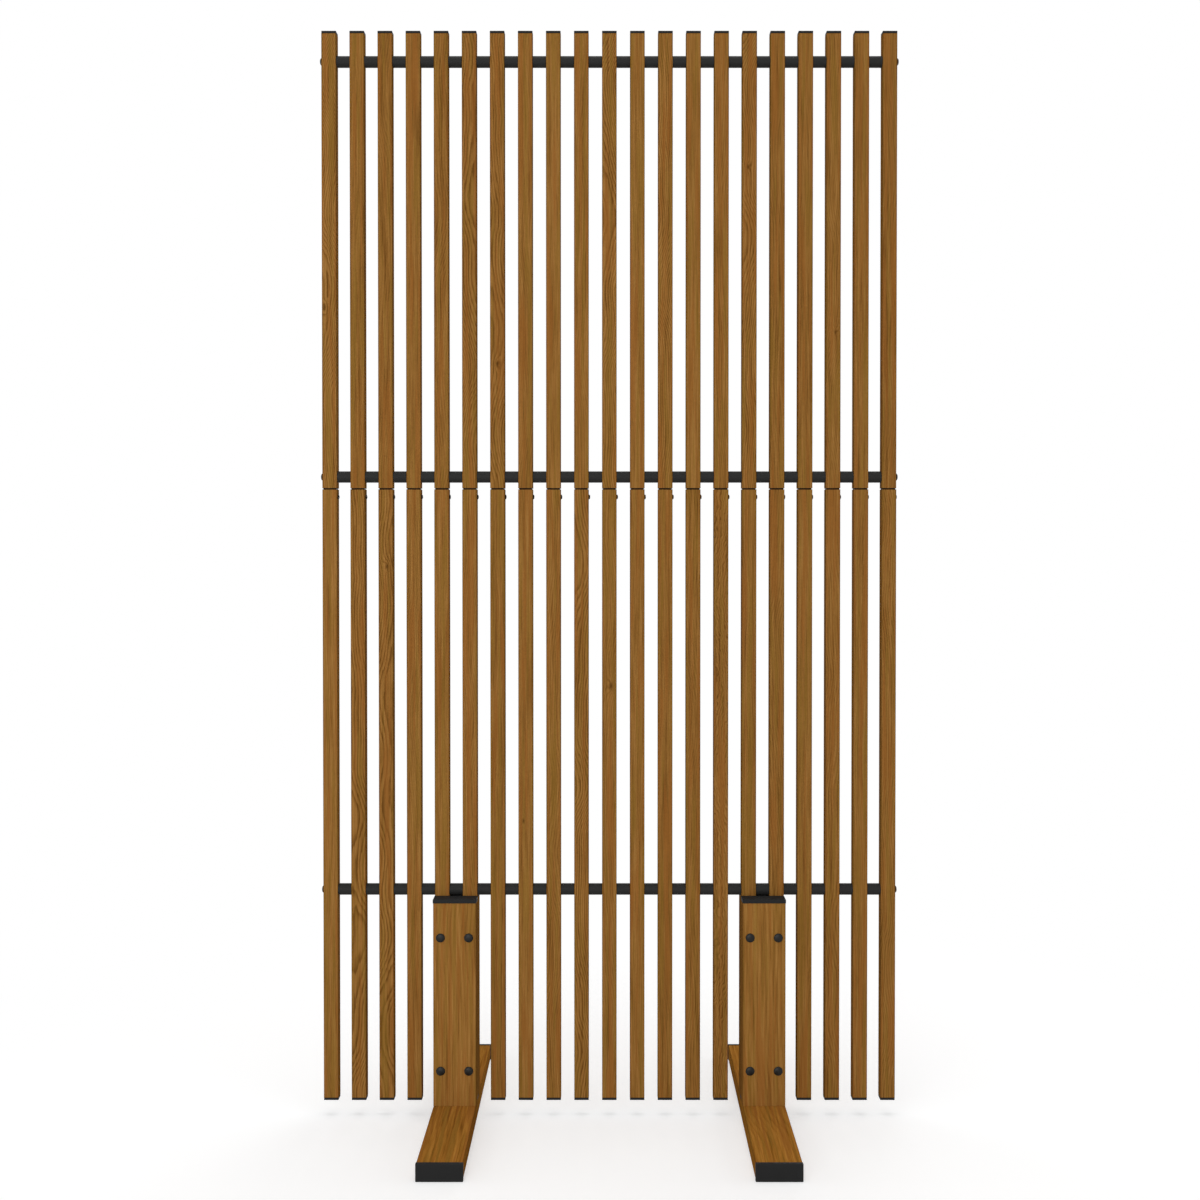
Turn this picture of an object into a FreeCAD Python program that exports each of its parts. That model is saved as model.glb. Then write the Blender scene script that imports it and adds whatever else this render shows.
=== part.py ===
"""Garden privacy screen: a row of two-part wood-look slats on black spacers, with two clamped feet.

X runs along the row, Y from front to back, and Z up. The origin is on the floor, under the middle.
"""
import FreeCAD, Part
import math
import os
from FreeCAD import Vector

# ---- slats ----
slat_count = 21
slat_width = 27.4
slat_depth = 22.0
slat_wall = 1.5
slat_gap = 25.2
slat_length = 2013.0
slat_cap_thickness = 4.3
slat_plug_depth = 12.0

# ---- joint between the two lengths of a slat ----
joint_below_bar = 22.6
joint_line = 2.0
joiner_reach_down = 60.0
joiner_screw_drop = 15.0
joiner_screw_shank = 4.0
joiner_screw_length = 9.0
joiner_screw_head = 9.0
joiner_screw_head_height = 2.7

# ---- tie bars and spacers ----
bar_count = 3
first_bar_height = 398.0
top_bar_drop = 55.0
bar_side = 12.0
spacer_diameter = 21.5
end_screw_shank = 8.0
end_screw_length = 16.0
end_screw_head = 14.0
end_screw_head_height = 4.0
end_screw_socket = 5.0
end_screw_socket_depth = 2.5

# ---- feet ----
outer_slat_count = 4
profile_width = 80.0
profile_thickness = 30.0
profile_wall = 2.0
foot_length = 600.0
upright_below_bar = 10.0
foot_cap_thickness = 7.5
foot_cap_lip = 0.8
foot_cap_bevel = 1.0
foot_plug_depth = 18.0
tongue_edge = 8.7
tongue_height = 110.0
tongue_wall = 3.0

# ---- clamp bolts ----
first_bolt_height = 66.0
bolt_spacing = 250.0
bolt_shank = 6.0
bolt_neck_length = 4.0
bolt_head = 17.0
bolt_head_height = 4.0
nut_across_flats = 10.0
nut_height = 5.0
nut_dome_height = 3.5
nut_dome_top = 5.0

# ---- fits ----
plug_gap = 0.2
bar_gap = 0.2
hole_gap = 0.2
tongue_gap = 0.2
end_gap = 0.3

# Small round parts repeat so often that they are drawn with this many flats.
round_sides = 12
shank_sides = 8
small_head_sides = 6
dome_taper = 0.62

# ---- worked out ----
pitch = slat_width + slat_gap
field_width = (slat_count - 1) * pitch + slat_width
beam_base = foot_cap_lip
beam_top = beam_base + profile_thickness
upright_y = (slat_depth + profile_thickness) / 2
bar_spacing = (slat_length - top_bar_drop - first_bar_height) / (bar_count - 1)
bar_heights = [first_bar_height + i * bar_spacing for i in range(bar_count)]
joint_bar_height = bar_heights[bar_count // 2]
joint_height = joint_bar_height - joint_below_bar
upright_height = first_bar_height - upright_below_bar
tongue_width = pitch + 2 * tongue_edge
bolt_heights = (first_bolt_height, first_bolt_height + bolt_spacing)
bolt_hole = bolt_shank + 2 * hole_gap
bolt_grip = slat_depth + 2 * profile_thickness
left_foot_slats = (outer_slat_count, outer_slat_count + 1)
right_foot_slats = tuple(slat_count - 1 - k for k in reversed(left_foot_slats))
foot_slats = left_foot_slats + right_foot_slats

RIGHT = Vector(1, 0, 0)
LEFT = Vector(-1, 0, 0)
BACK = Vector(0, 1, 0)
FRONT = Vector(0, -1, 0)

os.makedirs("parts", exist_ok=True)


def write(name, solids):
    """Writes one solid, or a group of separate ones, as a node."""
    shape = solids[0] if len(solids) == 1 else Part.makeCompound(solids)
    shape.exportStep("parts/" + name + ".step")


def slat_x(index):
    """The middle of a slat, counted from 0 at the left."""
    return (index - (slat_count - 1) / 2) * pitch


def foot_x(pair):
    """The middle of a foot, halfway between its two slats."""
    return (slat_x(pair[0]) + slat_x(pair[1])) / 2


def block(width, depth, height, x=0.0, y=0.0, z=0.0):
    """A box centred on x and y, standing on z."""
    return Part.makeBox(width, depth, height, Vector(x - width / 2, y - depth / 2, z))


def hollow(width, depth, height, wall, x=0.0, y=0.0, z=0.0):
    """A length of rectangular tube, open at both ends, standing on z."""
    inside = block(width - 2 * wall, depth - 2 * wall, height, x, y, z)
    return block(width, depth, height, x, y, z).cut(inside)


def ring(sides, across, z=0.0):
    """The corners of a closed ring of equal flats round the Z axis; the size is across the flats."""
    radius = across / 2 / math.cos(math.pi / sides)
    turns = [(2 * i + 1) * math.pi / sides for i in range(sides)]
    corners = [Vector(radius * math.cos(t), radius * math.sin(t), z) for t in turns]
    return corners + corners[:1]


def prism(sides, across, length, z=0.0):
    """A bar of equal flats up the Z axis, starting at z."""
    return Part.Face(Part.makePolygon(ring(sides, across, z))).extrude(Vector(0, 0, length))


def taper(sides, across, top_across, height, z=0.0):
    """A bar of equal flats up the Z axis that narrows towards its top."""
    low = ring(sides, across, z)
    high = ring(sides, top_across, z + height)
    outlines = [low, high]
    for i in range(sides):
        outlines.append([low[i], low[i + 1], high[i + 1], high[i], low[i]])
    shell = Part.Shell([Part.Face(Part.makePolygon(points)) for points in outlines])
    solid = Part.Solid(shell)
    if solid.Volume < 0:
        solid.reverse()
    return solid


def pointing(solid, direction, start):
    """Turns a solid made up the Z axis so that it runs along a direction, from a start point."""
    turned = solid.copy()
    turned.Placement = FreeCAD.Placement(start, FreeCAD.Rotation(Vector(0, 0, 1), direction))
    return turned


def square_hole(side, length, direction, start):
    """A square cutter along a direction, with its flats square to the part."""
    return pointing(prism(4, side, length), direction, start)


# ---- slats ----


def bar_cutters(index, z):
    """The openings in one slat for the tie bar at z: square, but a screw hole in an outer wall."""
    side = bar_side + 2 * bar_gap
    left = slat_x(index) - slat_width / 2
    right = slat_x(index) + slat_width / 2
    if index == 0:
        outer = prism(shank_sides, end_screw_shank + 2 * hole_gap, slat_wall)
        return [
            pointing(outer, RIGHT, Vector(left, 0, z)),
            square_hole(side, slat_wall, RIGHT, Vector(right - slat_wall, 0, z)),
        ]
    if index == slat_count - 1:
        outer = prism(shank_sides, end_screw_shank + 2 * hole_gap, slat_wall)
        return [
            pointing(outer, LEFT, Vector(right, 0, z)),
            square_hole(side, slat_wall, LEFT, Vector(left + slat_wall, 0, z)),
        ]
    return [square_hole(side, slat_width, RIGHT, Vector(left, 0, z))]


def bolt_cutters(index):
    """The openings through a slat of a foot for its clamp bolts."""
    x = slat_x(index)
    return [
        square_hole(bolt_hole, slat_depth, BACK, Vector(x, -slat_depth / 2, beam_top + height))
        for height in bolt_heights
    ]


def slat_part(index, low, high):
    """One length of a slat, from low to high above the slat's foot, with its openings."""
    tube = hollow(slat_width, slat_depth, high - low, slat_wall, slat_x(index), 0, beam_top + low)
    cutters = []
    for height in bar_heights:
        if low < height < high:
            cutters += bar_cutters(index, beam_top + height)
    if index in foot_slats and low < bolt_heights[0] < high:
        cutters += bolt_cutters(index)
    if low < joint_height - joiner_screw_drop < high:
        cutters.append(joiner_screw_cutter(index))
    return tube.cut(cutters)


def joiner_screw_cutter(index):
    """The hole in a lower slat's right wall, and on into the insert, for the small screw."""
    start = joiner_screw_seat(index)
    return square_hole(joiner_screw_shank + 2 * hole_gap, joiner_screw_length + end_gap, LEFT, start)


def joiner_screw_seat(index):
    """Where the small screw's head sits, on the right face of a lower slat."""
    height = beam_top + joint_height - joiner_screw_drop
    return Vector(slat_x(index) + slat_width / 2, 0, height)


def slat_joiner(index):
    """The insert inside a slat: its top end butts under the middle tie bar."""
    wide = slat_width - 2 * slat_wall - 2 * plug_gap
    deep = slat_depth - 2 * slat_wall - 2 * plug_gap
    low = joint_height - joiner_reach_down
    high = joint_bar_height - bar_side / 2 - end_gap
    insert = block(wide, deep, high - low, slat_x(index), 0, beam_top + low)
    return insert.cut(joiner_screw_cutter(index))


def slat_cap(index, top):
    """A cap that sits flush on a slat's end, with a plug inside the tube."""
    wide = slat_width - 2 * slat_wall - 2 * plug_gap
    deep = slat_depth - 2 * slat_wall - 2 * plug_gap
    x = slat_x(index)
    plate_z = slat_length - slat_cap_thickness if top else 0.0
    plug_z = plate_z - slat_plug_depth if top else slat_cap_thickness
    plate = block(slat_width, slat_depth, slat_cap_thickness, x, 0, beam_top + plate_z)
    return plate.fuse(block(wide, deep, slat_plug_depth, x, 0, beam_top + plug_z))


joint_low = joint_height - joint_line / 2
joint_high = joint_height + joint_line / 2
for k in range(slat_count):
    write("upper_slat_%02d" % (k + 1), [slat_part(k, joint_high, slat_length - slat_cap_thickness)])
    write("lower_slat_%02d" % (k + 1), [slat_part(k, slat_cap_thickness, joint_low)])
write("slat_top_caps", [slat_cap(k, True) for k in range(slat_count)])
write("slat_bottom_caps", [slat_cap(k, False) for k in range(slat_count)])
write("slat_joiners", [slat_joiner(k) for k in range(slat_count)])

# ---- small screws beside the joints ----
joiner_shank = prism(4, joiner_screw_shank, joiner_screw_length, -joiner_screw_length)
joiner_head = taper(
    small_head_sides, joiner_screw_head, joiner_screw_head * dome_taper, joiner_screw_head_height
)
joiner_screw = joiner_head.fuse(joiner_shank)
write(
    "joiner_screws",
    [pointing(joiner_screw, RIGHT, joiner_screw_seat(k)) for k in range(slat_count)],
)


# ---- tie bars, spacers and end screws ----
def spacer(index, z):
    """A round spacer in the gap to the right of a slat, with a square bore for the bar."""
    body = prism(round_sides, spacer_diameter, slat_gap)
    body = body.cut(prism(4, bar_side + 2 * bar_gap, slat_gap))
    return pointing(body, RIGHT, Vector(slat_x(index) + slat_width / 2, 0, z))


def tie_bar(z):
    """A square bar between the outer walls of the outer slats, tapped at both ends."""
    length = field_width - 2 * slat_wall - 2 * end_gap
    bar = block(length, bar_side, bar_side, 0, 0, z - bar_side / 2)
    bore = prism(shank_sides, end_screw_shank + 2 * hole_gap, end_screw_length)
    return bar.cut([
        pointing(bore, RIGHT, Vector(-length / 2, 0, z)),
        pointing(bore, LEFT, Vector(length / 2, 0, z)),
    ])


def end_screws(z):
    """The two button-head screws that draw the outer slats against a tie bar's ends."""
    socket_z = end_screw_head_height - end_screw_socket_depth
    socket = prism(6, end_screw_socket, end_screw_socket_depth, socket_z)
    one = taper(round_sides, end_screw_head, end_screw_head * dome_taper, end_screw_head_height)
    one = one.fuse(prism(shank_sides, end_screw_shank, end_screw_length, -end_screw_length)).cut(socket)
    return [
        pointing(one, LEFT, Vector(-field_width / 2, 0, z)),
        pointing(one, RIGHT, Vector(field_width / 2, 0, z)),
    ]


bar_levels = [beam_top + height for height in bar_heights]
write("spacers", [spacer(k, z) for z in bar_levels for k in range(slat_count - 1)])
write("tie_bars", [tie_bar(z) for z in bar_levels])
write("bar_end_screws", [one for z in bar_levels for one in end_screws(z)])


# ---- feet ----
def foot_cap(x, y, lips):
    """A plug cap pointing up the Z axis, its plate from z 0 and its plug below; lips are front and back."""
    front, back = lips
    plate_depth = profile_thickness + front + back
    plate_y = y + (back - front) / 2
    plate = block(profile_width + 2 * foot_cap_lip, plate_depth, foot_cap_thickness, x, plate_y, 0)
    rim = [edge for edge in plate.Edges if edge.BoundBox.ZMin > foot_cap_thickness / 2]
    plate = plate.makeChamfer(foot_cap_bevel, rim)
    wide = profile_width - 2 * profile_wall - 2 * plug_gap
    deep = profile_thickness - 2 * profile_wall - 2 * plug_gap
    return plate.fuse(block(wide, deep, foot_plug_depth, x, y, -foot_plug_depth))


def beam_cap(x, direction):
    """A cap in one end of a base beam, with its lip all round."""
    cap = foot_cap(0, 0, (foot_cap_lip, foot_cap_lip))
    end = foot_length / 2 - foot_cap_thickness
    middle = beam_base + profile_thickness / 2
    if direction == BACK:
        turn = FreeCAD.Rotation(Vector(1, 0, 0), -90)
    else:
        turn = FreeCAD.Rotation(Vector(1, 0, 0), 90)
    cap.Placement = FreeCAD.Placement(Vector(x, direction.y * end, middle), turn)
    return cap


def upright_cap(x, side):
    """A cap on top of an upright: no lip on the side that faces the slats."""
    lips = (foot_cap_lip, 0.0) if side < 0 else (0.0, foot_cap_lip)
    cap = foot_cap(x, side * upright_y, lips)
    cap.translate(Vector(0, 0, beam_top + upright_height - foot_cap_thickness))
    return cap


def foot_beam(pair):
    """The hollow beam that lies front to back, with a slot in its top for each upright's tongue."""
    length = foot_length - 2 * foot_cap_thickness
    x = foot_x(pair)
    beam = block(profile_width, length, profile_thickness, x, 0, beam_base)
    inner = profile_width - 2 * profile_wall
    inner_height = profile_thickness - 2 * profile_wall
    beam = beam.cut(block(inner, length, inner_height, x, 0, beam_base + profile_wall))
    slot_wide = tongue_width + 2 * tongue_gap
    slot_deep = profile_thickness - 2 * profile_wall
    slots = [
        block(slot_wide, slot_deep, profile_wall, x, side * upright_y, beam_top - profile_wall)
        for side in (-1, 1)
    ]
    return beam.cut(slots)


def bolt_points(pair):
    """Where a foot's clamp bolts run: x and z of each."""
    return [(slat_x(k), beam_top + height) for height in bolt_heights for k in pair]


def bolt_openings(pair, side, depth):
    """Square openings right through an upright or a tongue for the clamp bolts."""
    start_y = side * upright_y - depth / 2
    return [square_hole(bolt_hole, depth, BACK, Vector(x, start_y, z)) for x, z in bolt_points(pair)]


def upright(pair, side):
    """A hollow upright on the front, side -1, or the back, side 1, of the slats."""
    height = upright_height - foot_cap_thickness
    tube = hollow(
        profile_width, profile_thickness, height, profile_wall, foot_x(pair), side * upright_y, beam_top
    )
    return tube.cut(bolt_openings(pair, side, profile_thickness))


def tongue(pair, side):
    """The box section that stands in the beam and reaches up inside an upright."""
    deep = profile_thickness - 2 * profile_wall - 2 * tongue_gap
    base = beam_base + profile_wall
    height = beam_top + tongue_height - base
    tube = hollow(tongue_width, deep, height, tongue_wall, foot_x(pair), side * upright_y, base)
    return tube.cut(bolt_openings(pair, side, deep))


def clamp_bolts(pair):
    """Coach bolts from the front: domed head, square neck, then the shank."""
    length = bolt_grip + nut_height - end_gap
    dome = taper(round_sides, bolt_head, bolt_head * dome_taper, bolt_head_height)
    neck = prism(4, bolt_shank, bolt_neck_length, -bolt_neck_length)
    bolt = dome.fuse([neck, prism(shank_sides, bolt_shank, length, -length)]).removeSplitter()
    front = -bolt_grip / 2
    return [pointing(bolt, FRONT, Vector(x, front, z)) for x, z in bolt_points(pair)]


def clamp_nuts(pair):
    """Cap nuts on the back of the rear upright."""
    nut = prism(6, nut_across_flats, nut_height)
    nut = nut.fuse(taper(6, nut_across_flats, nut_dome_top, nut_dome_height, nut_height))
    nut = nut.cut(prism(shank_sides, bolt_shank + 2 * hole_gap, nut_height))
    rear = bolt_grip / 2
    return [pointing(nut, BACK, Vector(x, rear, z)) for x, z in bolt_points(pair)]


feet = {"left": left_foot_slats, "right": right_foot_slats}
for hand, pair in feet.items():
    write("foot_beam_" + hand, [foot_beam(pair)])
    write("front_upright_" + hand, [upright(pair, -1)])
    write("rear_upright_" + hand, [upright(pair, 1)])
pairs = list(feet.values())
write("upright_tongues", [tongue(pair, side) for pair in pairs for side in (-1, 1)])
write("beam_end_caps", [beam_cap(foot_x(pair), way) for pair in pairs for way in (FRONT, BACK)])
write("upright_top_caps", [upright_cap(foot_x(pair), side) for pair in pairs for side in (-1, 1)])
write("clamp_bolts", [one for pair in pairs for one in clamp_bolts(pair)])
write("clamp_nuts", [one for pair in pairs for one in clamp_nuts(pair)])
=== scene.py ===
"""A garden privacy screen: wood-grain slats on three bars, held in two feet. Metres, +Z up, front at -Y."""

import math

import bmesh
import bpy
import numpy as np
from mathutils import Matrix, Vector


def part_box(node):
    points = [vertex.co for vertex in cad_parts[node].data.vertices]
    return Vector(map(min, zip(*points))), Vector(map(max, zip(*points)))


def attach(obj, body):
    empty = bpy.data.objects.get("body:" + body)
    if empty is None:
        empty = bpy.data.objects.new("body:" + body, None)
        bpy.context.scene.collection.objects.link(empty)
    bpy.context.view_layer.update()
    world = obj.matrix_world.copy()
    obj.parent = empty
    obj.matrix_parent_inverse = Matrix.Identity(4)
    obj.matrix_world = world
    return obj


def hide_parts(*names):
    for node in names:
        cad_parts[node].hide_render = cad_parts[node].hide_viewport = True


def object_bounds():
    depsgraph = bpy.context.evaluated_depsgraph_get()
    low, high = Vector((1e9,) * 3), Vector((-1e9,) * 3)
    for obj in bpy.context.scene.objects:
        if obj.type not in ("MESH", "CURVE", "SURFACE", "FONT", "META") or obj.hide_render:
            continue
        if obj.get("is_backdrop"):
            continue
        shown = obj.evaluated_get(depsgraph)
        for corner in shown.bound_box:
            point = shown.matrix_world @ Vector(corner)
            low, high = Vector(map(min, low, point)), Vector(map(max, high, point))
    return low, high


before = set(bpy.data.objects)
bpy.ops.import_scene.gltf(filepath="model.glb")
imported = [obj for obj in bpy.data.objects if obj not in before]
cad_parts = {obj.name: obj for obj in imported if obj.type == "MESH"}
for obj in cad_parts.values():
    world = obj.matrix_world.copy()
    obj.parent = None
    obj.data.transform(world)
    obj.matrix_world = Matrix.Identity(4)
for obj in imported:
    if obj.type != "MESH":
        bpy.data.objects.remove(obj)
cad_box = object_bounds()

MM = 0.001
BODY = "root"
UP = (0, 0, 1)
RIGHT, LEFT = (1, 0, 0), (-1, 0, 0)
FRONT, BACK = (0, -1, 0), (0, 1, 0)

# ---- places read from the frame ----
slat_count = sum(name.startswith("upper_slat_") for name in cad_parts)
upper_slats = ["upper_slat_%02d" % (k + 1) for k in range(slat_count)]
lower_slats = ["lower_slat_%02d" % (k + 1) for k in range(slat_count)]
slat_sides = [(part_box(name)[0].x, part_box(name)[1].x) for name in upper_slats]
slat_middles = [(low + high) / 2 for low, high in slat_sides]
pitch = slat_middles[1] - slat_middles[0]
slat_bottom, joint_low = (corner.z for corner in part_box(lower_slats[0]))
joint_high, slat_top = (corner.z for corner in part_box(upper_slats[0]))
joint_height = (joint_low + joint_high) / 2
joint_half = (joint_high - joint_low) / 2

bar_count = 3
spacers_low, spacers_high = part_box("spacers")
spacer_radius = (spacers_high.y - spacers_low.y) / 2
bar_levels = np.linspace(spacers_low.z + spacer_radius, spacers_high.z - spacer_radius, bar_count)

feet = {"left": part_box("foot_beam_left"), "right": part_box("foot_beam_right")}
foot_middle = (feet["right"][0].x + feet["right"][1].x) / 2
foot_slats = [x for x in slat_middles if abs(abs(x) - foot_middle) < pitch]
upright_low, upright_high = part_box("rear_upright_left")
upright_middle = (upright_low.y + upright_high.y) / 2
clamp_front, clamp_back = -upright_high.y, upright_high.y
beam_middle = (feet["left"][0].z + feet["left"][1].z) / 2
slat_half = (slat_sides[0][1] - slat_sides[0][0]) / 2
slat_half_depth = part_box(upper_slats[0])[1].y
profile_half = (feet["left"][1].x - feet["left"][0].x) / 2
profile_half_depth = (feet["left"][1].z - feet["left"][0].z) / 2

# ---- sizes of the hardware ----
bar_opening = 12.4 * MM
spacer_chamfer = 0.7 * MM
spacer_facets = 32
end_head_radius = 7 * MM
end_head_height = 4 * MM
end_shank_radius = 4 * MM
end_screw_length = 16 * MM
end_socket = 5 * MM
end_socket_depth = 2.5 * MM
joint_head_radius = 4.5 * MM
joint_head_height = 2.7 * MM
joint_shank_radius = 2 * MM
joint_screw_length = 9 * MM
joint_socket = 3 * MM
joint_socket_depth = 1.4 * MM
bolt_head_radius = 8.5 * MM
bolt_head_height = 4 * MM
bolt_rim = 0.9 * MM
bolt_undercut = 0.3 * bolt_rim
bolt_flat_radius = 0.8 * MM
bolt_shank_radius = 3 * MM
bolt_neck_length = 4 * MM
nut_across_flats = 10 * MM
nut_height = 5 * MM
nut_chamfer = 0.4 * MM
nut_dome_radius = 4.3 * MM
nut_dome_height = 3.5 * MM
nut_flat_radius = 0.5 * MM
nut_bore_radius = 3.2 * MM
tip_chamfer = 0.6 * MM
dome_steps, bolt_dome_steps = 7, 9

# ---- edges ----
slat_edge = 1.2 * MM
profile_edge = 1.5 * MM
cut_edge = 0.3 * MM
slat_cap_edge = 0.4 * MM
foot_cap_edge = 0.7 * MM
edge_steps = 3
shortest_run = 40 * MM
lengthways_cosine = 0.99
weld = 0.001 * MM
flat_angle = math.radians(1)
sharp_angle = math.radians(32)


# ---- shader maths ----
class Link:
    """A node's output, used in sums like a number: each operator adds the Math node that works it out."""

    def __init__(self, finish, socket):
        self.finish = finish
        self.socket = socket

    def maths(self, operation, *values, clamp=False):
        settings = {"operation": operation, "use_clamp": clamp}
        return self.finish.node("Math", settings, dict(enumerate(values)))

    def __add__(self, other):
        return self.maths("ADD", self, other)

    def __radd__(self, other):
        return self.maths("ADD", other, self)

    def __sub__(self, other):
        return self.maths("SUBTRACT", self, other)

    def __rsub__(self, other):
        return self.maths("SUBTRACT", other, self)

    def __mul__(self, other):
        return self.maths("MULTIPLY", self, other)

    def __rmul__(self, other):
        return self.maths("MULTIPLY", other, self)

    def __truediv__(self, other):
        return self.maths("DIVIDE", self, other)

    def __rtruediv__(self, other):
        return self.maths("DIVIDE", other, self)

    def __pow__(self, other):
        return self.maths("POWER", self, other)

    def __rpow__(self, other):
        return self.maths("POWER", other, self)

    def __gt__(self, other):
        return self.maths("GREATER_THAN", self, other)

    def __lt__(self, other):
        return self.maths("LESS_THAN", self, other)

    def __abs__(self):
        return self.maths("ABSOLUTE", self)

    def __round__(self):
        return self.maths("ROUND", self)

    def fraction(self):
        """What the number has beyond the whole number below it."""
        return self.maths("FRACT", self)

    def clamped(self):
        """The number, kept between 0 and 1."""
        return self.maths("ADD", self, 0.0, clamp=True)

    def bell(self):
        """Falls off from 1 as a squared distance grows: e to the minus square."""
        return self.maths("EXPONENT", -1 * self)


class Finish:
    """A material or world under construction. Its method node adds any node, and the others call it."""

    def __init__(self, owner):
        owner.use_nodes = True
        self.owner = owner
        self.tree = owner.node_tree
        self.tree.nodes.clear()

    def node(self, kind, settings=None, inputs=None, output=0):
        """Adds a node, makes its settings, then fills its sockets, and gives back one output."""
        made = self.tree.nodes.new("ShaderNode" + kind)
        for key, value in (settings or {}).items():
            if key == "stops":
                self.set_stops(made.color_ramp, value)
            elif key == "between":
                made.color_ramp.interpolation = value
            else:
                setattr(made, key, value)
        for key, value in (inputs or {}).items():
            if isinstance(value, Link):
                self.tree.links.new(value.socket, made.inputs[key])
            else:
                made.inputs[key].default_value = value
        return Link(self, made.outputs[output]) if len(made.outputs) else made

    @staticmethod
    def set_stops(ramp, stops):
        """Gives a ramp its stops: a place from 0 to 1 and a colour each."""
        while len(ramp.elements) < len(stops):
            ramp.elements.new(1)
        for element, (place, colour) in zip(ramp.elements, stops):
            element.position = place
            element.color = colour

    def mixed(self, factor, first, second):
        """A colour between two others. Mix takes its colours at sockets 6 and 7 and gives one at 2."""
        return self.node("Mix", {"data_type": "RGBA"}, {0: factor, 6: first, 7: second}, 2)

    def noise(self, vector, scale, detail=2.0, output=0):
        """Soft noise from 0 to 1 at a number of features to the metre."""
        return self.node("TexNoise", None, {"Vector": vector, "Scale": scale, "Detail": detail}, output)

    def place(self):
        """Where a point of the surface lies, in metres."""
        return self.node("TexCoord", output="Object")

    def vector(self, x, y, z):
        return self.node("CombineXYZ", None, {0: x, 1: y, 2: z})

    def parts(self, vector):
        """The three numbers in a vector."""
        split = self.node("SeparateXYZ", None, {0: vector}).socket.node
        return [Link(self, number) for number in split.outputs]

    def step(self, value, low, high):
        """Rises smoothly from 0 to 1 as a value goes from low to high."""
        settings = {"interpolation_type": "SMOOTHSTEP"}
        return self.node("MapRange", settings, {0: value, 1: low, 2: high})

    def bump(self, height, strength, distance):
        """Fine relief, as a normal."""
        return self.node("Bump", None, {"Height": height, "Strength": strength, "Distance": distance})

    def surface(self, **sockets):
        """A Principled surface as the output."""
        words = {key.replace("_", " "): value for key, value in sockets.items()}
        shader = self.node("BsdfPrincipled", None, words)
        self.node("OutputMaterial", None, {"Surface": shader})
        return self.owner


def new_finish(name):
    return Finish(bpy.data.materials.new(name))


def shade(red, green, blue):
    """A screen colour, 0 to 255, as the linear colour that a shader takes."""
    linear = [((c / 255 + 0.055) / 1.055) ** 2.4 if c > 10 else c / 255 / 12.92 for c in (red, green, blue)]
    return (*linear, 1.0)


# ---- wood grain ----
# The palest, middle and darkest tone of each wood, and their places on the way from pale to dark.
slat_tones = (shade(160, 115, 60), shade(141, 98, 46), shade(104, 67, 26))
upright_tones = (shade(165, 119, 62), shade(146, 102, 48), shade(108, 70, 27))
# The beams' tones are paler than the other woods' as painted light, standing in for the light on the beams'
# tops.
beam_painted_light_tones = (shade(180, 125, 55), shade(159, 107, 42), shade(117, 74, 24))
tone_places = (0.0, 0.45, 1.0)
red_wood = shade(144, 91, 40)
olive_wood = shade(134, 100, 40)
# Dark vein colour: for the pores and knots, and also for the painted shade on the sides and corners.
vein_and_painted_shade_wood = shade(74, 45, 14)
# Near-black for the painted shadow lines at the slats' joint and caps.
painted_seam_shadow_wood = shade(32, 20, 10)
red_share, olive_share, pore_share = 0.6, 0.5, 0.30
wood_roughness = 0.78

# How far each part of the grain moves the tone, where 1 is all the way from the palest to the darkest.
middle_tone = 0.44
board_contrast, band_contrast, streak_contrast, fibre_contrast = 0.14, 0.45, 1.5, 0.55
plain_rings, figured_rings = 0.08, 0.62

# Rings: how wide they are, where the dark late wood starts and peaks in one, and how they waver and curl.
slat_ring, foot_ring = 3.8 * MM, 7.0 * MM
late_start, late_peak = 0.2, 0.85
ring_waver = 1.1
plain_curl, slat_curl, extra_curl = 0.4, 0.5, 3.0
curly_slat = 15
foot_figure = 0.22

# Boards: a number for the slats', the uprights' and the beams', and how far apart they lie in the noise.
slat_boards, upright_boards, beam_boards = 3.0, 11.0, 17.0
board_spread = 9.0
drift_scale = 3.4

# Painted shade on the sides and the rounded corners: how far from the corner it starts and is full, and how
# dark it gets.
painted_shade_start, painted_shade_full = 1.6 * MM, 0.2 * MM
painted_side_shade, painted_corner_shade = 0.22, 0.34
# How far the painted shadow line reaches in from each cut end of a slat.
painted_seam_shadow_reach = 1.0 * MM

# Each knot: the slat counted from the left, its height, how far right of the slat's middle, and its size.
knots = (
    (3, 1.040, 0.002, 4.0 * MM),
    (11, 0.815, 0.003, 5.5 * MM),
    (8, 0.560, -0.004, 3.2 * MM),
    (16, 1.790, -0.003, 3.6 * MM),
    (7, 1.421, 0.000, 4.2 * MM),
    (1, 1.527, -0.009, 3.8 * MM),
    (19, 1.480, 0.004, 3.0 * MM),
)
# How much longer than wide a knot is, how many sizes it pushes the rings away, and how small its core is.
knot_length = 2.2
knot_push = 1.6
knot_core = 2.2
knot_dark = 0.8

# How much each slat's grain shows as arches, from 0 for straight lines to 1, from the left.
upper_figure = (
    0.9, 0.2, 0.3, 0.1, 0.4, 0.9, 0.8, 0.3, 0.1, 0.3, 0.9,
    0.2, 0.8, 0.1, 0.4, 0.8, 0.3, 0.2, 0.4, 0.1, 0.3,
)
lower_figure = (
    0.2, 0.9, 0.9, 0.3, 0.1, 0.4, 0.2, 0.1, 0.5, 0.9, 0.4,
    0.2, 0.1, 0.3, 0.7, 0.2, 0.4, 0.1, 0.5, 0.2, 0.6,
)


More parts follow.
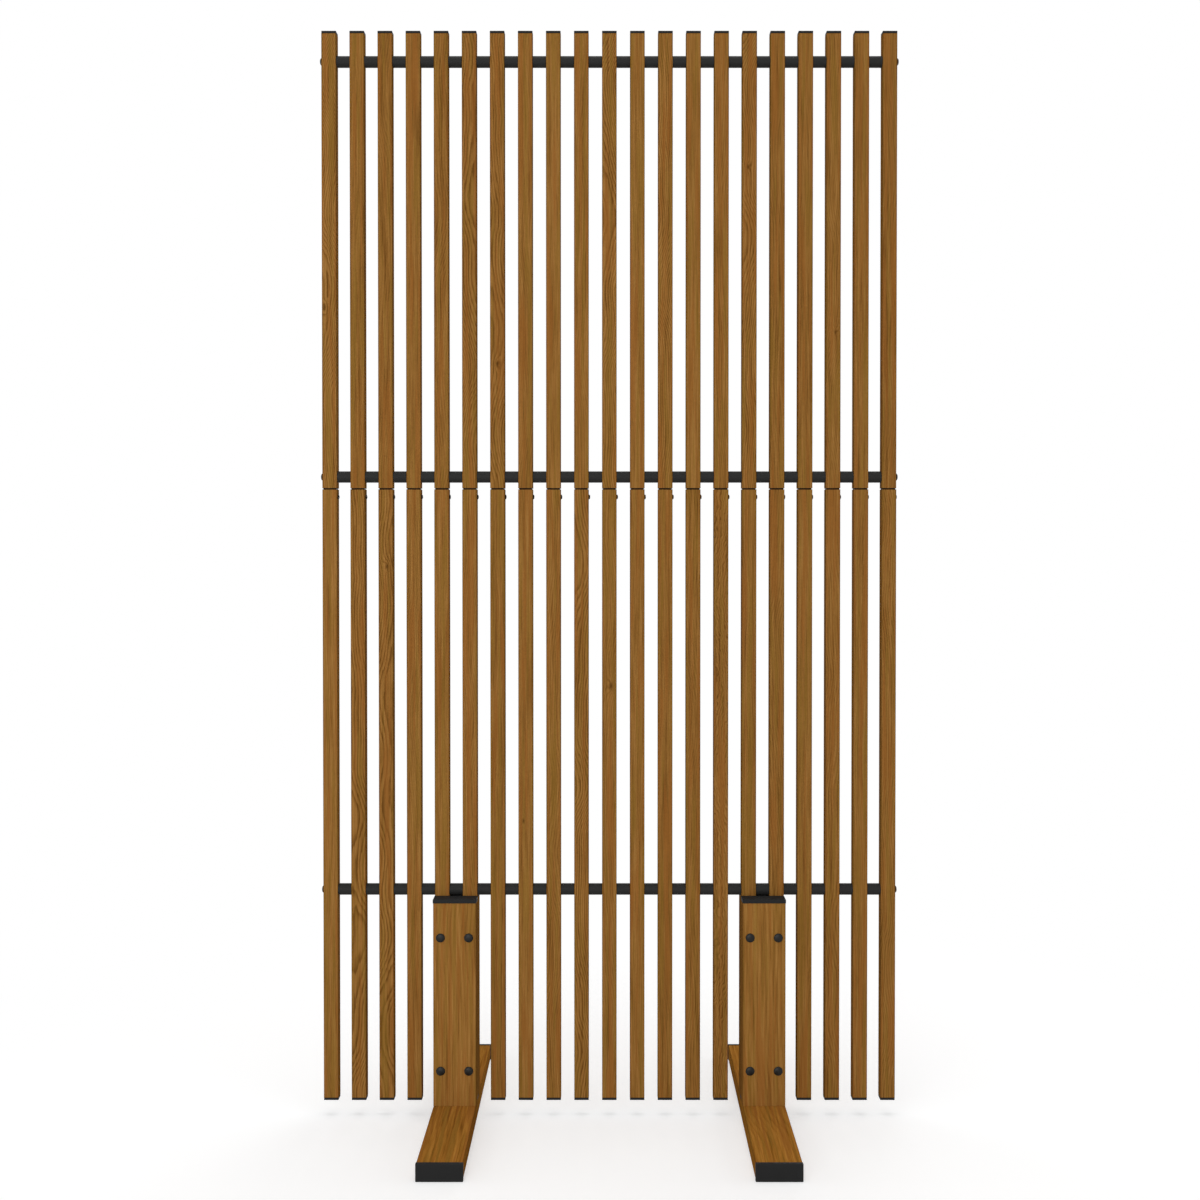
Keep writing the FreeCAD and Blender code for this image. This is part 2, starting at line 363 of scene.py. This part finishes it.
def grain(finish, across, through, along, board, tones, ring_width, figure, bent=0.0, curl=plain_curl):
    """The colour, roughness and height of a board sawn from a log, from its own three coordinates.

    The log's heart lies off the board by a distance that differs from board to board and drifts with
    length, and a ring shows wherever the distance to it passes a whole number of ring widths. The
    more a board is figured, the nearer it was sawn to the heart, and the more its rings stand out.
    """
    first, second, third = finish.parts(finish.node("TexWhiteNoise", None, {"Vector": board}, "Color"))
    spot = finish.vector(first * board_spread, second * board_spread + third, along)
    drift_x, drift_y, _ = finish.parts(finish.noise(spot, drift_scale, 1.5, "Color"))
    side = (third > 0.5) * 2.0 - 1.0
    # Before it drifts, the heart lies 90 mm aside and 40 to 70 mm off the face of a plain board, and
    # 20 mm aside and 18 to 48 mm off the face of a fully figured one.
    heart_x = side * (0.09 - figure * 0.07) + (drift_x - 0.5) * (figure * 0.15 + 0.03)
    heart_y = 0.040 - figure * 0.022 + second * 0.03 + (drift_y - 0.5) * 0.03
    square = (across - heart_x) ** 2.0 + (through + heart_y) ** 2.0
    spread = across + first

    def drawn_out(shortening, scale, detail):
        """Noise along the board: the more its length is shortened, the longer the streaks."""
        return finish.noise(finish.vector(spread, through, along * shortening), scale, detail)

    waver = drawn_out(0.045, 130.0, 2.0)
    ripple = drawn_out(0.5, 75.0, 2.0)
    streak = drawn_out(0.03, 300.0, 2.0)
    fibre = drawn_out(0.045, 900.0, 3.0)
    band = drawn_out(0.02, 85.0, 1.0)
    pores = finish.step(drawn_out(0.06, 2600.0, 1.0), 0.60, 0.72)
    hue = finish.noise(finish.vector(spread, through + third, along * 0.03), 130.0, 2.0)

    rings = (square**0.5 + bent) / ring_width + waver * ring_waver + (ripple - 0.5) * curl
    saw = rings.fraction()
    late = finish.step(saw, late_start, late_peak) ** 1.5 * (1 - finish.step(saw, late_peak, 1.0))
    tone = middle_tone + (second - 0.5) * board_contrast + (band - 0.5) * band_contrast
    tone = tone + (streak - 0.5) * streak_contrast
    depth = tone + (late - 0.25) * (figure * figured_rings + plain_rings) + (fibre - 0.5) * fibre_contrast

    body = finish.node("ValToRGB", {"stops": list(zip(tone_places, tones))}, {0: depth.clamped()})
    tinted = finish.mixed(finish.step(hue, 0.51, 0.64) * red_share, body, red_wood)
    tinted = finish.mixed(finish.step(hue, 0.49, 0.36) * olive_share, tinted, olive_wood)
    colour = finish.mixed(pores * pore_share, tinted, vein_and_painted_shade_wood)
    roughness = wood_roughness + (fibre - 0.5) * 0.16 + pores * 0.08
    height = fibre * 0.5 + late * 0.25 - pores * 0.6
    return colour, roughness, height


def wood_surface(finish, grained, across, through, half, half_depth):
    """Grain with painted shade: a little darker on the sides and darkest on the rounded corners."""
    colour, roughness, height = grained
    aside = finish.step(abs(across), half - painted_shade_start, half - painted_shade_full)
    inward = finish.step(abs(through), half_depth - painted_shade_start, half_depth - painted_shade_full)
    # Painted shade: the sides, and more so the corners, are mixed towards the dark vein colour.
    colour = finish.mixed(aside * painted_side_shade + aside * inward * painted_corner_shade, colour, vein_and_painted_shade_wood)
    relief = finish.bump(height, 0.25, 0.15 * MM)
    return finish.surface(Base_Color=colour, Roughness=roughness, Normal=relief, Specular_IOR_Level=0.0)


def held_steps(finish, values, place):
    """One of a row of numbers, by place from 0 to 1."""
    stops = [(i / len(values), (value, value, value, 1)) for i, value in enumerate(values)]
    return finish.node("ValToRGB", {"stops": stops, "between": "CONSTANT"}, {0: place})


def painted_seam_shadow(finish, z):
    """Painted shadow at a slat's ends: 1 where it was cut, at the joint and the caps, and 0 inside."""
    middle, half = (slat_bottom + slat_top) / 2, (slat_top - slat_bottom) / 2
    joint = finish.step(abs(z - joint_height), joint_half + painted_seam_shadow_reach, joint_half)
    return joint + finish.step(abs(z - middle), half - painted_seam_shadow_reach, half)


def slat_wood():
    """Grain along Z, another board for each slat and for each of its two lengths."""
    finish = new_finish("slat_wood_grain")
    x, y, z = finish.parts(finish.place())
    number = round(x / pitch)
    across = x - number * pitch
    upper = z > joint_height
    board = finish.vector(number, upper, slat_boards)
    place = (number + slat_count / 2) / slat_count
    lower_part = held_steps(finish, lower_figure, place) * (1 - upper)
    figure = held_steps(finish, upper_figure, place) * upper + lower_part
    bent = 0.0
    dark = 0.0
    for slat, level, aside, size in knots:
        centre = slat_middles[slat - 1] + aside
        square = ((x - centre) / size) ** 2.0 + ((z - level) / (knot_length * size)) ** 2.0
        near = (square * 0.5).bell() * (y < 0.0)
        bent = bent + near * (knot_push * size)
        dark = dark + (square * knot_core).bell() * near
    # The 9 leaves the slats beside the curly one with none of its extra curl.
    away = (number - (curly_slat - 1 - (slat_count - 1) / 2)) ** 2.0
    curl = slat_curl + (away * 9.0).bell() * (1 - upper) * extra_curl
    grained = grain(finish, across, y, z, board, slat_tones, slat_ring, figure, bent, curl)
    colour, roughness, height = grained
    colour = finish.mixed(dark.clamped() * knot_dark, colour, vein_and_painted_shade_wood)
    # Painted shadow lines by the joint gap and under the caps.
    colour = finish.mixed(painted_seam_shadow(finish, z), colour, painted_seam_shadow_wood)
    return wood_surface(finish, (colour, roughness, height), across, y, slat_half, slat_half_depth)


def upright_wood():
    """Grain along Z, another board for each upright of the feet."""
    finish = new_finish("upright_wood_grain")
    x, y, z = finish.parts(finish.place())
    hand = (x > 0.0) * 2.0 - 1.0
    side = (y > 0.0) * 2.0 - 1.0
    across = x - hand * foot_middle
    through = y - side * upright_middle
    board = finish.vector(hand, side, upright_boards)
    grained = grain(finish, across, through, z, board, upright_tones, foot_ring, foot_figure)
    return wood_surface(finish, grained, across, through, profile_half, profile_half_depth)


def beam_wood():
    """Grain along Y, another board for each base beam."""
    finish = new_finish("beam_wood_grain")
    x, y, z = finish.parts(finish.place())
    hand = (x > 0.0) * 2.0 - 1.0
    across = x - hand * foot_middle
    through = z - beam_middle
    board = finish.vector(hand, 4.0, beam_boards)
    grained = grain(finish, across, through, y, board, beam_painted_light_tones, foot_ring, foot_figure)
    return wood_surface(finish, grained, across, through, profile_half, profile_half_depth)


# ---- plastics and metals ----
def moulded_plastic(name, colour, paler, roughness):
    """Matt plastic with the fine grain of a spark-eroded mould and faint flow marks."""
    finish = new_finish(name)
    place = finish.place()
    grit = finish.noise(place, 2400.0, 2.0)
    flow = finish.noise(place, 45.0, 2.0)
    tone = finish.mixed((flow * 0.6 + grit * 0.4).clamped(), colour, paler)
    relief = finish.bump(grit, 0.3, 0.08 * MM)
    rough = roughness + (grit - 0.5) * 0.15 + (flow - 0.5) * 0.08
    return finish.surface(Base_Color=tone, Roughness=rough, Normal=relief, Specular_IOR_Level=0.08)


def black_coating():
    """Black coated steel with a slight orange peel, cloudy in its tone and its roughness."""
    finish = new_finish("black_coated_steel")
    place = finish.place()
    peel = finish.noise(place, 1300.0, 1.0)
    cloud = finish.noise(place, 160.0, 2.0)
    tone = finish.mixed(cloud, shade(19, 18, 16), shade(30, 28, 26))
    relief = finish.bump(peel, 0.22, 0.06 * MM)
    rough = 0.42 + (cloud - 0.5) * 0.16
    return finish.surface(Base_Color=tone, Roughness=rough, Normal=relief, Specular_IOR_Level=0.18)


def drawn_steel():
    """Zinc-plated bar and tube, with draw marks from left to right and a cloudy plating."""
    finish = new_finish("zinc_plated_steel")
    place = finish.place()
    x, y, z = finish.parts(place)
    marks = finish.noise(finish.vector(x * 0.05, y, z), 1800.0, 2.0)
    cloud = finish.noise(place, 90.0, 3.0)
    tone = finish.mixed(cloud, shade(150, 152, 154), shade(178, 179, 180))
    relief = finish.bump(marks, 0.15, 0.05 * MM)
    rough = 0.32 + (marks - 0.5) * 0.2
    return finish.surface(Base_Color=tone, Roughness=rough, Normal=relief, Metallic=1.0)


slat_finish = slat_wood()
upright_finish = upright_wood()
beam_finish = beam_wood()
cap_finish = moulded_plastic("cap_plastic", shade(31, 31, 31), shade(39, 39, 39), 0.6)
spacer_finish = moulded_plastic("spacer_plastic", shade(37, 37, 36), shade(45, 45, 44), 0.6)
joiner_finish = moulded_plastic("joiner_plastic", shade(11, 8, 5), shade(17, 12, 8), 0.6)
coated_steel = black_coating()
plated_steel = drawn_steel()


# ---- pieces ----
def finished(piece, surface, slot, *nodes):
    """Puts a piece in the scene with its finish, on the screen's one body, in place of CAD nodes."""
    piece.data.materials.clear()
    piece.data.materials.append(surface)
    bpy.context.scene.collection.objects.link(piece)
    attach(piece, BODY)
    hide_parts(*nodes)
    return piece


def smooth_shaded(mesh):
    """Shades a mesh smooth, but for its sharp edges."""
    mesh.shade_smooth()
    mesh.set_sharp_from_angle(angle=sharp_angle)


def softened(node, run, edge, other_edge, surface, slot, shortest=0.0):
    """A copy of a CAD node with its corners merged, its flat faces joined up and its edges rounded.

    Convex edges that lie along the run, and are not shorter than the shortest, get the radius edge.
    All other sharp edges, such as cut ends and holes, get the radius other_edge.
    """
    solid = bmesh.new()
    solid.from_mesh(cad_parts[node].data)
    bmesh.ops.remove_doubles(solid, verts=solid.verts, dist=weld)
    bmesh.ops.dissolve_limit(solid, angle_limit=flat_angle, verts=solid.verts, edges=solid.edges)
    weight = solid.edges.layers.float.new("bevel_weight_edge")
    for line in solid.edges:
        if line.calc_face_angle(0) < sharp_angle:
            continue
        way = line.verts[1].co - line.verts[0].co
        aligned = abs(way.dot(Vector(run))) > lengthways_cosine * way.length
        lengthways = aligned and way.length >= shortest and line.is_convex
        line[weight] = 1.0 if lengthways else other_edge / edge
    mesh = bpy.data.meshes.new(node + "_soft_edged")
    solid.to_mesh(mesh)
    solid.free()
    smooth_shaded(mesh)
    piece = bpy.data.objects.new(mesh.name, mesh)
    rounding = piece.modifiers.new("rounded_edges", "BEVEL")
    rounding.width = edge
    rounding.segments = edge_steps
    rounding.limit_method = "WEIGHT"
    rounding.harden_normals = True
    return finished(piece, surface, slot, node)


def flats(angle, sides):
    """How far out a polygon's side lies at each angle, as a multiple of half its width across flats."""
    half = math.pi / sides
    return 1 / np.cos((angle + half) % (2 * half) - half)


def turned(stations, around=24):
    """Rings about the Z axis, one per station of (height, half width, sides, limit).

    The radius at an angle is the half width for a round station, where sides is 0, and the half width
    times flats(angle) for a polygon, but never over the limit, which cuts a polygon's corners off round.
    """
    angle = np.arange(around) * 2 * math.pi / around
    rings = []
    for height, half, sides, limit in stations:
        radius = half * flats(angle, sides) if sides else np.full(around, half)
        radius = np.minimum(radius, limit)
        ring = (radius * np.cos(angle), radius * np.sin(angle), np.full(around, height))
        rings.append(np.stack(ring, -1))
    return np.array(rings)


def circle(height, radius):
    """A round station."""
    return (height, radius, 0, math.inf)


def polygon(height, half, sides):
    """A station with sharp corners, by half its width across flats."""
    return (height, half, sides, math.inf)


def domed(low, high, steps):
    """Round stations on a quarter of an ellipse, upright at (height, radius) low and level at high."""
    turn = np.linspace(0, math.pi / 2, steps)
    heights = low[0] + (high[0] - low[0]) * np.sin(turn)
    radii = high[1] + (low[1] - high[1]) * np.cos(turn)
    return [circle(height, radius) for height, radius in zip(heights, radii)]


def skin(rings, looped=False):
    """Points, quads and triangles of a closed skin over rings that are counted round anticlockwise.

    Quads join each ring to the next. The last ring then joins the first, or each end closes as a fan.
    """
    count, around = rings.shape[:2]
    row, step = np.indices((count if looped else count - 1, around))
    beyond, turn = (row + 1) % count, (step + 1) % around
    corners = [row * around + step, row * around + turn, beyond * around + turn, beyond * around + step]
    quads = np.stack(corners, -1).reshape(-1, 4)
    points = rings.reshape(-1, 3)
    if looped:
        return points, quads, np.empty((0, 3), int)
    points = np.vstack([points, rings[[0, -1]].mean(1)])
    here, after = np.arange(around), (np.arange(around) + 1) % around
    low_pole, high_pole, last = count * around, count * around + 1, (count - 1) * around
    low_fan = np.stack([np.full(around, low_pole), after, here], -1)
    high_fan = np.stack([np.full(around, high_pole), last + here, last + after], -1)
    return points, quads, np.vstack([low_fan, high_fan])


def repeated(name, shape, spots, surface, slot, node):
    """One piece with a copy of a turned shape at each spot: where its seat is and which way it points.

    A copy's point is seat + x * side + y * up + z * way, with side as up cross way.
    """
    points, quads, triangles = shape
    seats = np.array([seat for seat, _ in spots], float)
    ways = np.array([way for _, way in spots], float)
    sides = np.cross(UP, ways)
    axes = np.stack([sides, np.broadcast_to(UP, ways.shape), ways], 1)
    placed = np.einsum("pk,nkc->npc", points, axes) + seats[:, None]
    shift = (np.arange(len(spots)) * len(points))[:, None, None]
    faces = (quads + shift).reshape(-1, 4).tolist() + (triangles + shift).reshape(-1, 3).tolist()
    mesh = bpy.data.meshes.new(name)
    mesh.from_pydata(placed.reshape(-1, 3), [], faces)
    smooth_shaded(mesh)
    return finished(bpy.data.objects.new(name, mesh), surface, slot, node)


def shank(radius, length):
    """Stations of a plain shank, from its chamfered tip at -length up to the seat at 0."""
    return [circle(-length, radius - tip_chamfer), circle(-length + tip_chamfer, radius), circle(0, radius)]


def button_screw(radius, height, shank_radius, length, socket, socket_depth):
    """A button head with a six-sided socket: the shank, the head's underside, its dome, then the socket."""
    rim = 0.2 * height
    mouth = 0.6 * socket
    lead_in = 0.06 * height
    underside = [circle(0, radius - rim / 2)]
    dome = domed((rim, radius), (height, mouth), dome_steps)
    cup = [polygon(height - lead_in, socket / 2, 6), polygon(height - socket_depth, socket / 2, 6)]
    return skin(turned(shank(shank_radius, length) + underside + dome + cup))


def coach_bolt(length):
    """A domed head with no slot, over a square neck that holds in the tube, then the shank."""
    shank_end = shank(bolt_shank_radius, length)[:2]
    neck = [
        circle(-bolt_neck_length - tip_chamfer, bolt_shank_radius),
        polygon(-bolt_neck_length, bolt_shank_radius, 4),
        polygon(0, bolt_shank_radius, 4),
    ]
    underside = [circle(0, bolt_head_radius - bolt_undercut)]
    dome = domed((bolt_rim, bolt_head_radius), (bolt_head_height, bolt_flat_radius), bolt_dome_steps)
    return skin(turned(shank_end + neck + underside + dome))


def cap_nut():
    """A six-sided nut, chamfered top and bottom, with a dome over its blind bore."""
    half = nut_across_flats / 2
    corner = half * flats(math.pi / 6, 6)
    bore = [circle(nut_height, nut_bore_radius), circle(0, nut_bore_radius)]
    body = [
        (0, half, 6, half),
        ((corner - half) / 2, half, 6, corner),
        (nut_height - nut_chamfer, half, 6, corner),
        (nut_height, half, 6, half),
    ]
    peak = nut_height + nut_dome_height
    dome = domed((nut_height, nut_dome_radius), (peak, nut_flat_radius), dome_steps)
    return skin(turned(bore + body + dome))


def spacer_ring(length):
    """A round spacer with a square bore and chamfered rims: a ring section carried round and closed."""
    inner = spacer_radius - spacer_chamfer
    stations = [
        polygon(0, bar_opening / 2, 4),
        circle(0, inner),
        circle(spacer_chamfer, spacer_radius),
        circle(length - spacer_chamfer, spacer_radius),
        circle(length, inner),
        polygon(length, bar_opening / 2, 4),
    ]
    return skin(turned(stations, spacer_facets), looped=True)


# ---- wood-grain profiles ----
for node in upper_slats + lower_slats:
    softened(node, UP, slat_edge, cut_edge, slat_finish, "wood_grain", shortest_run)
for hand in feet:
    softened("foot_beam_" + hand, BACK, profile_edge, cut_edge, beam_finish, "wood_grain", shortest_run)
    for node in ("front_upright_" + hand, "rear_upright_" + hand):
        softened(node, UP, profile_edge, cut_edge, upright_finish, "wood_grain", shortest_run)

# ---- black mouldings ----
for node in ("slat_top_caps", "slat_bottom_caps"):
    softened(node, UP, slat_edge, slat_cap_edge, cap_finish, "black_plastic")
for node, run in (("beam_end_caps", BACK), ("upright_top_caps", UP)):
    softened(node, run, profile_edge, foot_cap_edge, cap_finish, "black_plastic")
gap_starts = [high for _, high in slat_sides[:-1]]
gap_length = slat_sides[1][0] - slat_sides[0][1]
spacer_spots = [((x, 0, z), RIGHT) for z in bar_levels for x in gap_starts]
repeated("round_spacers", spacer_ring(gap_length), spacer_spots, spacer_finish, "black_plastic", "spacers")

# ---- screws, bolts and nuts ----
end_screw = button_screw(
    end_head_radius,
    end_head_height,
    end_shank_radius,
    end_screw_length,
    end_socket,
    end_socket_depth,
)
outer_sides = ((slat_sides[0][0], LEFT), (slat_sides[-1][1], RIGHT))
end_spots = [((x, 0, z), way) for x, way in outer_sides for z in bar_levels]
repeated("domed_bar_screws", end_screw, end_spots, coated_steel, "black_steel", "bar_end_screws")

joint_screw = button_screw(
    joint_head_radius,
    joint_head_height,
    joint_shank_radius,
    joint_screw_length,
    joint_socket,
    joint_socket_depth,
)
screws_low, screws_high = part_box("joiner_screws")
joint_screw_level = (screws_low.z + screws_high.z) / 2
joint_spots = [((high, 0, joint_screw_level), RIGHT) for _, high in slat_sides]
repeated("domed_joint_screws", joint_screw, joint_spots, coated_steel, "black_steel", "joiner_screws")

bolts_low, bolts_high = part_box("clamp_bolts")
bolt_levels = (bolts_low.z + bolt_head_radius, bolts_high.z - bolt_head_radius)
bolt = coach_bolt(bolts_high.y - clamp_front)
bolt_spots = [((x, clamp_front, z), FRONT) for x in foot_slats for z in bolt_levels]
repeated("domed_clamp_bolts", bolt, bolt_spots, coated_steel, "black_steel", "clamp_bolts")
nut_spots = [((x, clamp_back, z), BACK) for x in foot_slats for z in bolt_levels]
repeated("domed_clamp_nuts", cap_nut(), nut_spots, coated_steel, "black_steel", "clamp_nuts")

# ---- hidden parts that stay as built ----
for node, surface in (
    ("slat_joiners", joiner_finish),
    ("tie_bars", plated_steel),
    ("upright_tongues", plated_steel),
):
    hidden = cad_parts[node]
    hidden.data.materials.clear()
    hidden.data.materials.append(surface)

# ---- studio ----
white = (1, 1, 1, 1)
floor_size = 14.0
floor_colour = (0.62, 0.62, 0.62, 1)
floor_glow = 0.455
ambient = 0.29
fade_start, fade_end = 0.45, 1.6

# Each soft box: where it stands, its width and its power. All face one point of the screen.
soft_boxes = {
    "front_box": ((-1.0, -4.3, 1.1), 3.0, 123),
    "back_box": ((1.3, 4.3, 1.4), 3.0, 96),
    "left_box": ((-4.2, -0.4, 1.8), 2.4, 28),
    "right_box": ((4.2, 0.4, 1.8), 2.4, 28),
    "top_box": ((0, 0, 4.6), 3.2, 87),
}
light_target = (0, 0, 1.0)


def rays(finish, *kinds):
    """1 for rays of the kinds named, and 0 for all others."""
    return sum(finish.node("LightPath", output="Is %s Ray" % kind) for kind in kinds).clamped()


def white_floor():
    """A pale floor that keeps its shadows near the screen and glows into the white further out."""
    finish = new_finish("studio_floor")
    x, y, _ = finish.parts(finish.place())
    far = finish.step((x**2.0 + y**2.0) ** 0.5, fade_start, fade_end)
    near_glow = finish.node("Emission", None, {"Color": white, "Strength": floor_glow})
    matt = finish.node("BsdfDiffuse", None, {"Color": floor_colour})
    near = finish.node("AddShader", None, {0: near_glow, 1: matt})
    beyond = finish.node("Emission", None, {"Color": white, "Strength": 1.0})
    lit = finish.node("MixShader", None, {0: far, 1: near, 2: beyond})
    shown = finish.node("MixShader", None, {0: rays(finish, "Camera", "Glossy"), 1: matt, 2: lit})
    finish.node("OutputMaterial", None, {"Surface": shown})
    return finish.owner


def white_world():
    """Plain grey light all round, seen as white by the camera and in reflections."""
    finish = Finish(bpy.context.scene.world or bpy.data.worlds.new("studio"))
    bpy.context.scene.world = finish.owner
    seen = rays(finish, "Camera", "Glossy", "Transmission")
    strength = finish.node("MapRange", None, {0: seen, 3: ambient, 4: 1.0})
    light = finish.node("Background", None, {"Color": white, "Strength": strength})
    finish.node("OutputWorld", None, {"Surface": light})


def add_soft_box(name, place, width, power):
    """A square soft box, turned to face the target."""
    lamp = bpy.data.lights.new(name, "AREA")
    lamp.size = width
    lamp.energy = power
    holder = bpy.data.objects.new(name, lamp)
    holder.location = place
    aim = np.array(light_target) - np.array(place)
    flat = math.hypot(aim[0], aim[1])
    holder.rotation_euler = (math.atan2(flat, -aim[2]), 0, math.atan2(-aim[0], aim[1]))
    bpy.context.scene.collection.objects.link(holder)


def add_floor():
    half = floor_size / 2
    corners = [(-half, -half, 0), (half, -half, 0), (half, half, 0), (-half, half, 0)]
    mesh = bpy.data.meshes.new("studio_floor")
    mesh.from_pydata(corners, [], [(0, 1, 2, 3)])
    mesh.materials.append(white_floor())
    floor = bpy.data.objects.new("studio_floor", mesh)
    bpy.context.scene.collection.objects.link(floor)
    floor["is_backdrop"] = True


add_floor()
white_world()
for name, (place, width, power) in soft_boxes.items():
    add_soft_box(name, place, width, power)

# ---- camera ----
camera_distance = 2.829
camera_height = 1.101
camera_pitch = math.radians(0.775)
focal_length = 44.93
shift_right, shift_up = -0.0078, -0.038
lens = bpy.data.cameras.new("camera")
lens.lens = focal_length
lens.shift_x = shift_right
lens.shift_y = shift_up
camera = bpy.data.objects.new("camera", lens)
camera.location = (0, -camera_distance, camera_height)
camera.rotation_euler = (math.pi / 2 - camera_pitch, 0, 0)
bpy.context.scene.collection.objects.link(camera)
bpy.context.scene.camera = camera
bpy.context.scene.view_settings.view_transform = "Standard"

{"cad": [list(c) for c in cad_box], "visual": [list(c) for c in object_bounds()]}
